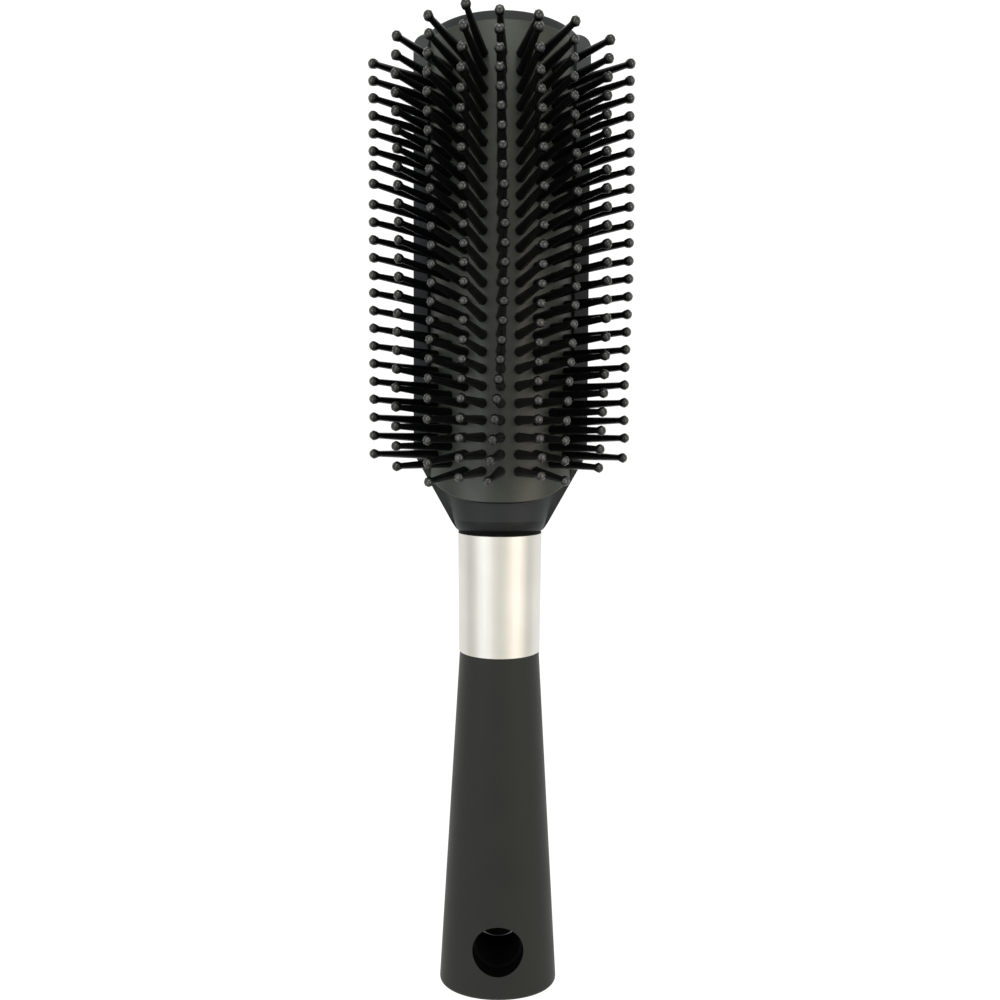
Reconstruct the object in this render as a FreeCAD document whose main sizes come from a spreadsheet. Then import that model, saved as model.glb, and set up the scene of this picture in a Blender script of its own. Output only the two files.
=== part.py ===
import FreeCAD, Part
import os
import Sketcher
from FreeCAD import Placement, Rotation, Vector

doc = FreeCAD.newDocument("styling_brush")

# Driving sizes in millimetres, angles in degrees
SIZES = {
    "total_length": 236.5,
    "head_length": 120.5,
    "crown_height": 19.0,
    "arch_radius": 21.5,
    "row_angle": 11.8,
    "pad_thickness": 2.4,
    "tongue_to_neck": 7.4,
    "pin_margin": 7.0,
    "pad_gap": 0.3,
    "tongue_half_width": 9.5,
    "tongue_drop": 5.2,
    "end_wall": 2.4,
    "frame_arch_step": 0.3,
    "rail_half_width": 21.3,
    "end_corner_radius": 3.5,
    "rail_top": 10.4,
    "rail_bottom": 5.6,
    "back_half_width": 12.0,
    "shoulder_length": 19.0,
    "shoulder_half_width": 10.9,
    "shoulder_top": 17.2,
    "shoulder_rim": 0.6,
    "shoulder_side": 2.0,
    "neck_gap": 0.9,
    "neck_clearance": 0.1,
    "neck_overlap": 1.0,
    "spine_thickness": 1.2,
    "spine_width": 3.0,
    "spine_overhang": 1.5,
    "pin_pitch": 4.0,
    "row_shift": -0.05,
    "pin_height": 18.8,
    "pin_root": 1.7,
    "pin_stem": 1.25,
    "ball_width": 2.0,
    "ball_flat": 1.0,
    "ball_neck_share": 0.9,
    "ball_middle_share": 0.45,
    "pin_sink": 0.2,
    "hole_clearance": 0.15,
    "cutter_margin": 0.5,
    "recess_rise": 6.0,
    "collar_length": 29.5,
    "collar_top_half_width": 10.4,
    "collar_end_half_width": 10.1,
    "collar_wall": 0.8,
    "handle_half_height": 8.5,
    "grip_start_half_width": 9.9,
    "grip_end_half_width": 14.8,
    "core_start_half_width": 6.0,
    "core_end_half_width": 10.5,
    "core_half_height": 4.8,
    "core_end_wall": 3.0,
    "grip_edge_round": 1.3,
    "tang_half_width": 4.6,
    "tang_half_height": 3.4,
    "tang_length": 24.0,
    "tang_clearance": 0.1,
    "socket_end_gap": 0.5,
    "plug_below_rim": 1.0,
    "hang_hole_from_end": 12.7,
    "hang_hole_radius": 6.3,
    "core_hole_radius": 5.5,
}

sheet = doc.addObject("Spreadsheet::Sheet", "Sizes")
for number, (alias, value) in enumerate(SIZES.items(), start=1):
    sheet.set(f"A{number}", alias)
    sheet.set(f"B{number}", str(value))
    sheet.setAlias(f"B{number}", alias)
doc.recompute()

# Places along the brush and across it that follow from the driving sizes
HEAD_END = "Sizes.total_length / 2"
HANDLE_END = "-Sizes.total_length / 2"
SHOULDER_END = "(Sizes.total_length / 2 - Sizes.head_length)"
SHOULDER_START = f"({SHOULDER_END} + Sizes.shoulder_length)"
COLLAR_TOP = f"({SHOULDER_END} - Sizes.neck_gap)"
COLLAR_END = f"({COLLAR_TOP} - Sizes.collar_length)"
PAD_TOP = "(Sizes.total_length / 2 - Sizes.end_wall)"
PAD_LENGTH = "(Sizes.head_length - Sizes.end_wall - Sizes.tongue_to_neck)"
PAD_END = f"({PAD_TOP} - {PAD_LENGTH})"
ARCH_CENTRE = "(Sizes.crown_height - Sizes.arch_radius)"
PAD_INNER = "(Sizes.arch_radius - Sizes.pad_thickness)"
CORE_RADIUS = "(Sizes.arch_radius - Sizes.pad_thickness - Sizes.spine_thickness)"
ROWS_CENTRE = f"({PAD_TOP} - {PAD_LENGTH} / 2 + Sizes.row_shift)"
HANDLE_AXIS = "Sizes.handle_half_height"
PLAN_HEIGHT = "(Sizes.crown_height * 2)"
PLAN_WIDTH = "(Sizes.rail_half_width + 1)"

# The cushion reaches half a row past the outer rows
ROW_EDGE = 4.5

# Pins in each row from the middle out: the outer rows are shorter by one and by two pins
pad_run = SIZES["head_length"] - SIZES["end_wall"] - SIZES["tongue_to_neck"]
LONGEST_ROW = int((pad_run - 2 * SIZES["pin_margin"]) / SIZES["pin_pitch"]) + 1
ROWS = {0: LONGEST_ROW, 1: LONGEST_ROW, 2: LONGEST_ROW, 3: LONGEST_ROW - 1, 4: LONGEST_ROW - 2}


def bind(item, prop, formula):
    """Tie one property of an object to a formula of the sheet."""
    item.setExpression(prop, formula)


def polygon_sketch(body, name, plane, corners, offset=None):
    """Draw a closed outline whose corners are formulas, on one origin plane of the body."""
    sketch = body.newObject("Sketcher::SketchObject", name)
    support = [item for item in body.Origin.OriginFeatures if item.Role == plane]
    sketch.AttachmentSupport = [(support[0], "")]
    sketch.MapMode = "FlatFace"
    if offset is not None:
        bind(sketch, "AttachmentOffset.Base.z", offset)
    values = [[evaluate(sketch, part) for part in corner] for corner in corners]
    count = len(values)
    for index in range(count):
        first = Vector(*values[index], 0)
        second = Vector(*values[(index + 1) % count], 0)
        sketch.addGeometry(Part.LineSegment(first, second), False)
    for index in range(count):
        sketch.addConstraint(Sketcher.Constraint("Coincident", index, 2, (index + 1) % count, 1))
    for index, corner in enumerate(corners):
        for kind, formula, value in zip(("DistanceX", "DistanceY"), corner, values[index]):
            number = sketch.addConstraint(Sketcher.Constraint(kind, -1, 1, index, 1, value))
            bind(sketch, f"Constraints[{number}]", formula)
    doc.recompute()
    return sketch


def evaluate(item, formula):
    """Give the present value of a formula as a plain number."""
    result = item.evalExpression(formula)
    return float(getattr(result, "Value", result))


def new_body(name):
    """Start an empty body."""
    return doc.addObject("PartDesign::Body", name)


def extrude(body, sketch, length):
    """Add material from a sketch over a length."""
    pad = body.newObject("PartDesign::Pad", f"{body.Name}_{sketch.Name}_pad")
    pad.Profile = sketch
    bind(pad, "Length", length)
    body.Tip = pad
    doc.recompute()
    return pad


def arch_point(radius, angle_count):
    """Give a corner of the faceted arch, as formulas for across and up."""
    reach = f"{radius} / cos(Sizes.row_angle * 0.5deg)"
    turn = f"Sizes.row_angle * {angle_count} * 1deg"
    return (f"{reach} * sin({turn})", f"{ARCH_CENTRE} + {reach} * cos({turn})")


def arch_corners(radius):
    """Give the corners of a faceted arch from its left edge to its right edge."""
    steps = int(2 * ROW_EDGE) + 1
    return [arch_point(radius, -ROW_EDGE + step) for step in range(steps)]


def place_row(item, row):
    """Turn a row about the middle of the arch, its zero height on the core face."""
    turn = f"Sizes.row_angle * {row} * 1deg"
    item.Placement = Placement(Vector(0, 0, 0), Rotation(Vector(0, 1, 0), 0.0))
    item.Placement.Rotation.Axis = Vector(0, 1, 0)
    bind(item, "Placement.Base.x", f"{CORE_RADIUS} * sin({turn})")
    bind(item, "Placement.Base.y", ROWS_CENTRE)
    bind(item, "Placement.Base.z", f"{ARCH_CENTRE} + {CORE_RADIUS} * cos({turn})")
    bind(item, "Placement.Rotation.Angle", turn)


def square_corners(half):
    """Give the four corners of a square about the middle."""
    return [(f"-{half}", f"-{half}"), (half, f"-{half}"), (half, half), (f"-{half}", half)]


def repeat_along(body, features, count):
    """Repeat the features along the row, once per pin."""
    pattern = body.newObject("PartDesign::LinearPattern", f"{body.Name}_pattern")
    pattern.Originals = features
    axis = [item for item in body.Origin.OriginFeatures if item.Role == "Y_Axis"]
    pattern.Direction = (axis[0], [""])
    bind(pattern, "Length", f"Sizes.pin_pitch * {count - 1}")
    pattern.Occurrences = count
    body.Tip = pattern
    doc.recompute()
    return pattern


def shifted(corners, offset):
    """Move outline corners along the row by a formula."""
    return [(across, f"{along} + ({offset})") for across, along in corners]


def square_taper(body, name, lower, upper, along):
    """Add a tapering square block between two levels, each a half width and a height."""
    wedge = body.newObject("PartDesign::AdditiveWedge", name)
    for side, sign in (("min", "-"), ("max", "")):
        bind(wedge, f"X{side}", f"{sign}{lower[0]}")
        bind(wedge, f"Z{side}", f"{sign}{lower[0]}")
        bind(wedge, f"X2{side}", f"{sign}{upper[0]}")
        bind(wedge, f"Z2{side}", f"{sign}{upper[0]}")
    bind(wedge, "Ymin", lower[1])
    bind(wedge, "Ymax", upper[1])
    wedge.Placement = Placement(Vector(0, 0, 0), Rotation(Vector(1, 0, 0), 90))
    bind(wedge, "Placement.Base.y", along)
    body.Tip = wedge
    doc.recompute()
    return wedge


def pin_strip(name, row, count):
    """Build one strip: a flat spine with a row of ball-tipped pins standing on it."""
    body = new_body(name)
    start = f"-Sizes.pin_pitch * {(count - 1) / 2}"
    half_length = f"(Sizes.pin_pitch * {(count - 1) / 2} + Sizes.spine_overhang)"
    half_width = "Sizes.spine_width / 2"
    spine = polygon_sketch(body, f"{name}_spine", "XY_Plane", [
        (f"-{half_width}", f"-{half_length}"), (half_width, f"-{half_length}"),
        (half_width, half_length), (f"-{half_width}", half_length)])
    extrude(body, spine, "Sizes.spine_thickness")
    root = "Sizes.spine_thickness"
    top = "(Sizes.spine_thickness + Sizes.pad_thickness + Sizes.pin_height)"
    levels = [
        ("Sizes.pin_root / 2", f"({root} - Sizes.pin_sink)"),
        ("Sizes.pin_stem / 2", f"({top} - Sizes.ball_width * Sizes.ball_neck_share)"),
        ("Sizes.ball_width / 2", f"({top} - Sizes.ball_width * Sizes.ball_middle_share)"),
        ("Sizes.ball_flat / 2", top),
    ]
    stages = []
    for stage, (lower, upper) in enumerate(zip(levels[:-1], levels[1:])):
        stages.append(square_taper(body, f"{name}_stage_{stage}", lower, upper, start))
    repeat_along(body, stages, count)
    place_row(body, row)
    body.Label = name
    return body


def row_cutter(name, row, count):
    """Build the row of prisms that pierces the cushion for one strip."""
    body = new_body(name)
    start = f"-Sizes.pin_pitch * {(count - 1) / 2}"
    half = "(Sizes.pin_root / 2 + Sizes.hole_clearance)"
    outline = polygon_sketch(
        body, f"{name}_hole", "XY_Plane", shifted(square_corners(half), start),
        "Sizes.spine_thickness - Sizes.cutter_margin")
    prism = extrude(body, outline, "Sizes.pad_thickness + 3 * Sizes.cutter_margin")
    repeat_along(body, [prism], count)
    place_row(body, row)
    return body


def tongue_corners(gap):
    """Give the outline of the cushion seen from above, grown by a gap."""
    wide = PLAN_WIDTH
    narrow = f"(Sizes.tongue_half_width + {gap})"
    edge = f"(Sizes.arch_radius * sin(Sizes.row_angle * {ROW_EDGE} * 1deg))"
    low = f"({PAD_END} - {gap})"
    corner = f"({PAD_END} + Sizes.tongue_drop - {gap})"
    top = f"({PAD_TOP} + {gap})"
    return [
        (f"-{wide}", corner), (f"-{edge}", corner), (f"-{narrow}", low), (narrow, low),
        (edge, corner), (wide, corner), (wide, top), (f"-{wide}", top)]


# Cushion pad: a faceted rubber arch, trimmed to its tongue and pierced for the pins
pad_body = new_body("pad_arch")
pad_outline = arch_corners("Sizes.arch_radius") + list(reversed(arch_corners(PAD_INNER)))
pad_sketch = polygon_sketch(pad_body, "pad_profile", "XZ_Plane", pad_outline, f"-{PAD_TOP}")
extrude(pad_body, pad_sketch, PAD_LENGTH)

pad_plan = new_body("pad_plan")
plan_sketch = polygon_sketch(pad_plan, "pad_plan_outline", "XY_Plane", tongue_corners("0"))
extrude(pad_plan, plan_sketch, PLAN_HEIGHT)

pad_blank = doc.addObject("Part::MultiCommon", "pad_blank")
pad_blank.Shapes = [pad_body, pad_plan]
doc.recompute()

strips = []
cutters = []
for row_number in range(-4, 5):
    pins = ROWS[abs(row_number)]
    if row_number < 0:
        strip_name = f"pin_strip_left_{-row_number}"
    elif row_number > 0:
        strip_name = f"pin_strip_right_{row_number}"
    else:
        strip_name = "pin_strip_centre"
    strips.append(pin_strip(strip_name, row_number, pins))
    cutters.append(row_cutter(f"{strip_name}_holes", row_number, pins))

hole_set = doc.addObject("Part::Compound", "hole_set")
hole_set.Links = cutters
cushion = doc.addObject("Part::Cut", "cushion")
cushion.Base = pad_blank
cushion.Tool = hole_set
cushion.Label = "cushion_pad"
doc.recompute()

# Head frame: rails and end wall from one profile, then a shoulder narrowing to the neck
FRAME_ARCH = "(Sizes.arch_radius - Sizes.frame_arch_step)"


def frame_corners(arch, wide, ledge, low, top_level, back):
    """Give one cross-section of the frame, with a faceted arch on top."""
    corners = [(f"-{back}", "0"), (back, "0"), (wide, low), (wide, ledge)]
    steps = 8
    for step in range(steps + 1):
        share = 1 - 2 * step / steps
        corners.append(arch(share, top_level, ledge))
    corners += [(f"-{wide}", ledge), (f"-{wide}", low)]
    return corners


def head_arch(share, top_level, ledge):
    """Give a corner of the big arch, by its share of the full turn."""
    turn = f"(acos(({ledge} - {ARCH_CENTRE}) / {FRAME_ARCH}) * {share})"
    return (f"{FRAME_ARCH} * sin({turn})", f"{ARCH_CENTRE} + {FRAME_ARCH} * cos({turn})")


def neck_arch(share, top_level, ledge):
    """Give a corner of the small oval arch at the neck."""
    turn = f"(90deg * {share})"
    half = "(Sizes.shoulder_half_width - Sizes.shoulder_rim)"
    return (f"{half} * sin({turn})", f"{ledge} + ({top_level} - {ledge}) * cos({turn})")


frame_body = new_body("frame_blank")
full_section = frame_corners(
    head_arch, "Sizes.rail_half_width", "Sizes.rail_top", "Sizes.rail_bottom", "0",
    "Sizes.back_half_width")
neck_section = frame_corners(
    neck_arch, "Sizes.shoulder_half_width", "Sizes.handle_half_height",
    "(Sizes.handle_half_height - Sizes.shoulder_side)", "Sizes.shoulder_top",
    "(Sizes.shoulder_half_width / 2)")
frame_sketch = polygon_sketch(
    frame_body, "frame_profile", "XZ_Plane", full_section, f"-{HEAD_END}")
extrude(frame_body, frame_sketch, "Sizes.head_length - Sizes.shoulder_length")
loft_start = polygon_sketch(
    frame_body, "shoulder_start", "XZ_Plane", full_section, f"-{SHOULDER_START}")
loft_end = polygon_sketch(
    frame_body, "shoulder_end", "XZ_Plane", neck_section, f"-{SHOULDER_END}")
shoulder = frame_body.newObject("PartDesign::AdditiveLoft", "shoulder")
shoulder.Profile = loft_start
shoulder.Sections = [loft_end]
shoulder.Ruled = True
frame_body.Tip = shoulder
doc.recompute()


def rounded_end_corners():
    """Give the frame's outline from above, its two corners at the head's end rounded."""
    wide = PLAN_WIDTH
    radius = "Sizes.end_corner_radius"
    low = f"({SHOULDER_END} - 1)"
    right = []
    for step in range(4):
        turn = f"{30 * step}deg"
        across = f"Sizes.rail_half_width - {radius} + {radius} * cos({turn})"
        along = f"{HEAD_END} - {radius} + {radius} * sin({turn})"
        right.append((across, along))
    left = [(f"-({across})", along) for across, along in reversed(right)]
    start = f"{HEAD_END} - {radius}"
    return [(f"-{wide}", low), (wide, low), (wide, start)] + right + left + [
        (f"-{wide}", start)]


frame_plan = new_body("frame_plan")
frame_plan_sketch = polygon_sketch(
    frame_plan, "frame_plan_outline", "XY_Plane", rounded_end_corners())
extrude(frame_plan, frame_plan_sketch, PLAN_HEIGHT)
frame_shell = doc.addObject("Part::MultiCommon", "frame_shell")
frame_shell.Shapes = [frame_body, frame_plan]
doc.recompute()


def recess_corners():
    """Give the seat of the cushion: the arch corners with a small gap past each edge."""
    turn = f"(Sizes.row_angle * {ROW_EDGE} * 1deg)"
    outlines = []
    for radius in (CORE_RADIUS, "(Sizes.arch_radius + Sizes.recess_rise)"):
        reach = f"{radius} / cos(Sizes.row_angle * 0.5deg)"
        across = f"{reach} * sin{turn} + Sizes.pad_gap * cos{turn}"
        height = f"{ARCH_CENTRE} + {reach} * cos{turn} - Sizes.pad_gap * sin{turn}"
        outlines.append([(f"-({across})", height)] + arch_corners(radius) + [(across, height)])
    return outlines[1] + list(reversed(outlines[0]))


recess_body = new_body("recess_arch")
recess_sketch = polygon_sketch(
    recess_body, "recess_profile", "XZ_Plane", recess_corners(),
    f"-({PAD_TOP} + Sizes.pad_gap)")
extrude(recess_body, recess_sketch, f"{PAD_LENGTH} + 2 * Sizes.pad_gap")

recess_plan = new_body("recess_plan")
recess_plan_sketch = polygon_sketch(
    recess_plan, "recess_plan_outline", "XY_Plane", tongue_corners("Sizes.pad_gap"))
extrude(recess_plan, recess_plan_sketch, PLAN_HEIGHT)

recess = doc.addObject("Part::MultiCommon", "recess")
recess.Shapes = [recess_body, recess_plan]


def oval(name, half_width, half_height, along):
    """Draw an upright oval across the handle at a place along the brush."""
    item = doc.addObject("Part::Ellipse", name)
    bind(item, "MajorRadius", half_width)
    bind(item, "MinorRadius", half_height)
    item.Placement = Placement(Vector(0, 0, 0), Rotation(Vector(1, 0, 0), 90))
    bind(item, "Placement.Base.y", along)
    bind(item, "Placement.Base.z", HANDLE_AXIS)
    return item


def oval_loft(name, sections):
    """Build a solid through ovals given as half width, half height and place along."""
    ovals = [oval(f"{name}_{index}", *section) for index, section in enumerate(sections)]
    loft = doc.addObject("Part::Loft", name)
    loft.Sections = ovals
    loft.Solid = True
    loft.Ruled = True
    doc.recompute()
    return loft


def oval_corners(half_width, half_height, sides=20):
    """Give the corners of an oval drawn as a polygon that touches its full width and height."""
    corners = []
    for side in range(sides):
        turn = f"{(side + 0.5) * 360 / sides}deg"
        spread = f"cos({180 / sides}deg)"
        across = f"({half_width}) * cos({turn}) / {spread}"
        height = f"{HANDLE_AXIS} + ({half_height}) * sin({turn}) / {spread}"
        corners.append((across, height))
    return corners


def oval_bar(name, half_width, half_height, low, high):
    """Build a straight many-sided oval bar between two places along the brush."""
    body = new_body(name)
    outline = polygon_sketch(
        body, f"{name}_outline", "XZ_Plane", oval_corners(half_width, half_height),
        f"-({high})")
    extrude(body, outline, f"({high}) - ({low})")
    return body


def block(name, half_width, half_height, low, high):
    """Build a box about the handle axis between two places along the brush."""
    item = doc.addObject("Part::Box", name)
    bind(item, "Length", f"2 * ({half_width})")
    bind(item, "Width", f"({high}) - ({low})")
    bind(item, "Height", f"2 * ({half_height})")
    bind(item, "Placement.Base.x", f"-({half_width})")
    bind(item, "Placement.Base.y", low)
    bind(item, "Placement.Base.z", f"{HANDLE_AXIS} - ({half_height})")
    return item


def upright_hole(name, radius):
    """Build the cylinder that bores the hang hole."""
    item = doc.addObject("Part::Cylinder", name)
    bind(item, "Radius", radius)
    bind(item, "Height", f"4 * {HANDLE_AXIS}")
    bind(item, "Placement.Base.y", f"{HANDLE_END} + Sizes.hang_hole_from_end")
    bind(item, "Placement.Base.z", f"-{HANDLE_AXIS}")
    return item


def boolean(kind, name, shapes):
    """Fuse several shapes, or cut the second from the first."""
    item = doc.addObject(f"Part::{kind}", name)
    if kind == "Cut":
        item.Base = shapes[0]
        item.Tool = shapes[1]
    else:
        item.Shapes = shapes
    doc.recompute()
    return item


# Neck and tang: the recessed neck and the tongue that enters the handle core
PLUG_TOP = f"({COLLAR_TOP} - Sizes.plug_below_rim)"
PLUG_WIDTH = "(Sizes.collar_end_half_width - Sizes.collar_wall)"
PLUG_HEIGHT = "(Sizes.handle_half_height - Sizes.collar_wall)"
neck = oval_bar(
    "neck", f"{PLUG_WIDTH} - Sizes.neck_clearance", f"{PLUG_HEIGHT} - Sizes.neck_clearance",
    PLUG_TOP, f"{SHOULDER_END} + Sizes.neck_overlap")
tang = block(
    "tang", "Sizes.tang_half_width", "Sizes.tang_half_height",
    f"{PLUG_TOP} - Sizes.tang_length", f"{SHOULDER_END} + Sizes.neck_overlap")
frame_solid = boolean("MultiFuse", "frame_solid", [frame_shell, neck, tang])
frame = boolean("Cut", "frame", [frame_solid, recess])
frame.Label = "head_frame"

# Collar: a tapering oval tube of thin metal
collar_outer = oval_loft("collar_outer", [
    ("Sizes.collar_top_half_width", "Sizes.handle_half_height", COLLAR_TOP),
    ("Sizes.collar_end_half_width", "Sizes.handle_half_height", COLLAR_END)])
collar_bore = oval_bar("collar_bore", PLUG_WIDTH, PLUG_HEIGHT, COLLAR_END, COLLAR_TOP)
collar = boolean("Cut", "collar_tube", [collar_outer, collar_bore])
collar.Label = "collar"

# Handle core: the plug in the collar and the body under the grip, with socket and hole
INNER_END = f"({HANDLE_END} + Sizes.core_end_wall)"
core_body = doc.addObject("Part::Wedge", "core_body")
for side, sign in (("min", "-"), ("max", "")):
    bind(core_body, f"X{side}", f"{sign}Sizes.core_end_half_width")
    bind(core_body, f"X2{side}", f"{sign}Sizes.core_start_half_width")
    bind(core_body, f"Z{side}", f"{HANDLE_AXIS} {sign or '+'} Sizes.core_half_height")
    bind(core_body, f"Z2{side}", f"{HANDLE_AXIS} {sign or '+'} Sizes.core_half_height")
bind(core_body, "Ymin", INNER_END)
bind(core_body, "Ymax", COLLAR_END)
plug = oval_bar("plug", PLUG_WIDTH, PLUG_HEIGHT, COLLAR_END, PLUG_TOP)
core_solid = boolean("MultiFuse", "core_solid", [plug, core_body])
socket = block(
    "socket", "Sizes.tang_half_width + Sizes.tang_clearance",
    "Sizes.tang_half_height + Sizes.tang_clearance",
    f"{PLUG_TOP} - Sizes.tang_length - Sizes.socket_end_gap",
    f"{PLUG_TOP} + Sizes.plug_below_rim")
core_hole = upright_hole("core_hole", "Sizes.core_hole_radius")
core_tools = boolean("MultiFuse", "core_tools", [socket, core_hole])
core = boolean("Cut", "core", [core_solid, core_tools])
core.Label = "handle_core"

# Grip: the soft sleeve over the core, with a rounded end and the wider hang hole
grip_body = new_body("grip_outer")
grip_sections = [
    ("Sizes.grip_start_half_width", "Sizes.handle_half_height", COLLAR_END),
    ("Sizes.grip_end_half_width", "Sizes.handle_half_height",
     f"({HANDLE_END} + Sizes.grip_edge_round)"),
    ("Sizes.grip_end_half_width - Sizes.grip_edge_round",
     "Sizes.handle_half_height - Sizes.grip_edge_round", f"({HANDLE_END})")]
grip_outlines = []
for number, (half_width, half_height, along) in enumerate(grip_sections):
    grip_outlines.append(polygon_sketch(
        grip_body, f"grip_section_{number}", "XZ_Plane",
        oval_corners(half_width, half_height), f"-{along}"))
grip_loft = grip_body.newObject("PartDesign::AdditiveLoft", "grip_loft")
grip_loft.Profile = grip_outlines[0]
grip_loft.Sections = grip_outlines[1:]
grip_loft.Ruled = True
grip_body.Tip = grip_loft
doc.recompute()
grip_hole = upright_hole("grip_hole", "Sizes.hang_hole_radius")
grip_tools = boolean("MultiFuse", "grip_tools", [core_body, grip_hole])
grip = boolean("Cut", "grip_sleeve", [grip_body, grip_tools])
grip.Label = "grip"
doc.recompute()

pieces = [frame, cushion] + strips + [collar, core, grip]
for item in doc.Objects:
    if "Invalid" in item.State or "Error" in item.State:
        raise RuntimeError(f"{item.Name} did not build")
for piece in pieces:
    if piece.Shape.isNull() or not piece.Shape.isValid():
        raise RuntimeError(f"{piece.Label} has no valid shape")

os.makedirs("parts", exist_ok=True)
for piece in pieces:
    piece.Shape.exportStep(f"parts/{piece.Label}.step")
    print(piece.Label, len(piece.Shape.Solids), round(piece.Shape.Volume, 1))
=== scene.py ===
"""Half-round styling brush: smooth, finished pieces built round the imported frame."""

import logging
import math
from dataclasses import dataclass
from enum import Enum
from typing import Callable

import bmesh
import bpy
from mathutils import Matrix, Vector


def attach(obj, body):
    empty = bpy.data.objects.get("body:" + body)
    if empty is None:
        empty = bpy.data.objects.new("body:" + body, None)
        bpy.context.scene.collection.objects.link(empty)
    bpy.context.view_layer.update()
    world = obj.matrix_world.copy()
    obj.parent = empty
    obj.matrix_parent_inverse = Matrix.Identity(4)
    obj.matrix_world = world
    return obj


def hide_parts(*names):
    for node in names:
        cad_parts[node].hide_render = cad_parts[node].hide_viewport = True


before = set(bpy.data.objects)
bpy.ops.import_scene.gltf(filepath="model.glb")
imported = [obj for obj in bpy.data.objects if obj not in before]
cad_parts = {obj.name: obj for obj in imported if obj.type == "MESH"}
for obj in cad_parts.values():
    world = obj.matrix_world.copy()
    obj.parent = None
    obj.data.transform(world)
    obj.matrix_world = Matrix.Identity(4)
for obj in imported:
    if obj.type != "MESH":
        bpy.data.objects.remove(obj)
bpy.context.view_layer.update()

log = logging.getLogger("styling_brush")
MM = 0.001
BODY = "root"
# Edges bent more than this many degrees are rounded, or stay sharp
SHARP_ANGLE = 35.0
# How steeply the ends of collar and grip lean back, and the height in mm that stays in place
HANDLE_SLANT = (0.05, 15.7)
# The part of a noise texture's range that is spread over a colour ramp or a gloss
NOISE_SPAN = (0.3, 0.7)

Edges = list[bmesh.types.BMEdge]
Points = list[tuple[float, float]]
# Gives across and up in mm for a share of the way round or along
Shape = Callable[[float], tuple[float, float]]


def linear_colour(code: str) -> tuple[float, float, float, float]:
    """Turn an sRGB hex colour into the linear colour that a shader takes.

    Args:
        code: The colour as "#rrggbb".

    Returns:
        Red, green, blue and alpha, linear.
    """
    shares = [int(code[at:at + 2], 16) / 255 for at in (1, 3, 5)]
    light = [s / 12.92 if s <= 0.04045 else ((s + 0.055) / 1.055) ** 2.4 for s in shares]
    return (*light, 1.0)


def add_node(tree: bpy.types.NodeTree, kind: str, inputs: dict | None = None,
             **settings: object) -> bpy.types.Node:
    """Add one node with its settings and its inputs.

    Args:
        tree: The node tree that takes the node.
        kind: The node's type name.
        inputs: Socket name or number to a constant, or to the socket linked into it.
        settings: Properties of the node itself.

    Returns:
        The new node.
    """
    node = tree.nodes.new(kind)
    for name, value in settings.items():
        setattr(node, name, value)
    for socket, value in (inputs or {}).items():
        if isinstance(value, bpy.types.NodeSocket):
            tree.links.new(value, node.inputs[socket])
        else:
            node.inputs[socket].default_value = value
    return node


def colour_ramp(tree: bpy.types.NodeTree, factor: bpy.types.NodeSocket,
                stops: list[tuple[float, str]]) -> bpy.types.NodeSocket:
    """Turn a factor into a colour through stops.

    Args:
        tree: The node tree that takes the ramp.
        factor: The value that the ramp reads.
        stops: Position and sRGB hex colour of each stop.

    Returns:
        The ramp's colour.
    """
    ramp = add_node(tree, "ShaderNodeValToRGB", {"Fac": factor})
    while len(ramp.color_ramp.elements) < len(stops):
        ramp.color_ramp.elements.new(0.5)
    for element, (position, code) in zip(ramp.color_ramp.elements, stops):
        element.position = position
        element.color = linear_colour(code)
    return ramp.outputs["Color"]


def per_metre(size_mm: float) -> float:
    """Noise scale whose features are about this many millimetres across."""
    return 1 / (size_mm * MM)


def blank_material(name: str) -> tuple[bpy.types.Material, bpy.types.NodeTree]:
    """Make a material without nodes.

    Args:
        name: The material's name.

    Returns:
        The material and its empty node tree.
    """
    material = bpy.data.materials.new(name)
    material.use_nodes = True
    material.node_tree.nodes.clear()
    return material, material.node_tree


@dataclass(frozen=True)
class Polymer:
    """A moulded plastic or rubber: cloudy colour, fine surface grain and uneven gloss."""

    name: str
    dark: str
    light: str
    roughness: tuple[float, float]
    cloud_mm: float
    grain_mm: float
    grain_depth_mm: float
    specular: float
    sheen: float = 0.0

    def material(self) -> bpy.types.Material:
        """Build the finish.

        Returns:
            The material, all of it worked out from Object coordinates.
        """
        material, tree = blank_material(self.name)
        place = add_node(tree, "ShaderNodeTexCoord").outputs["Object"]
        cloud = add_node(tree, "ShaderNodeTexNoise", {
            "Vector": place, "Scale": per_metre(self.cloud_mm), "Detail": 4.0,
            "Roughness": 0.6}).outputs["Fac"]
        grain = add_node(tree, "ShaderNodeTexNoise", {
            "Vector": place, "Scale": per_metre(self.grain_mm), "Detail": 3.0,
            "Roughness": 0.55}).outputs["Fac"]
        colour = colour_ramp(tree, cloud, [*zip(NOISE_SPAN, (self.dark, self.light))])
        gloss = add_node(tree, "ShaderNodeMapRange", {
            "Value": cloud, "From Min": NOISE_SPAN[0], "From Max": NOISE_SPAN[1],
            "To Min": self.roughness[0], "To Max": self.roughness[1]}).outputs["Result"]
        bump = add_node(tree, "ShaderNodeBump", {
            "Strength": 1.0, "Distance": self.grain_depth_mm * MM,
            "Height": grain}).outputs["Normal"]
        shader = add_node(tree, "ShaderNodeBsdfPrincipled", {
            "Base Color": colour, "Roughness": gloss, "Normal": bump,
            "Specular IOR Level": self.specular, "Sheen Weight": self.sheen})
        add_node(tree, "ShaderNodeOutputMaterial", {"Surface": shader.outputs["BSDF"]})
        return material


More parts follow.
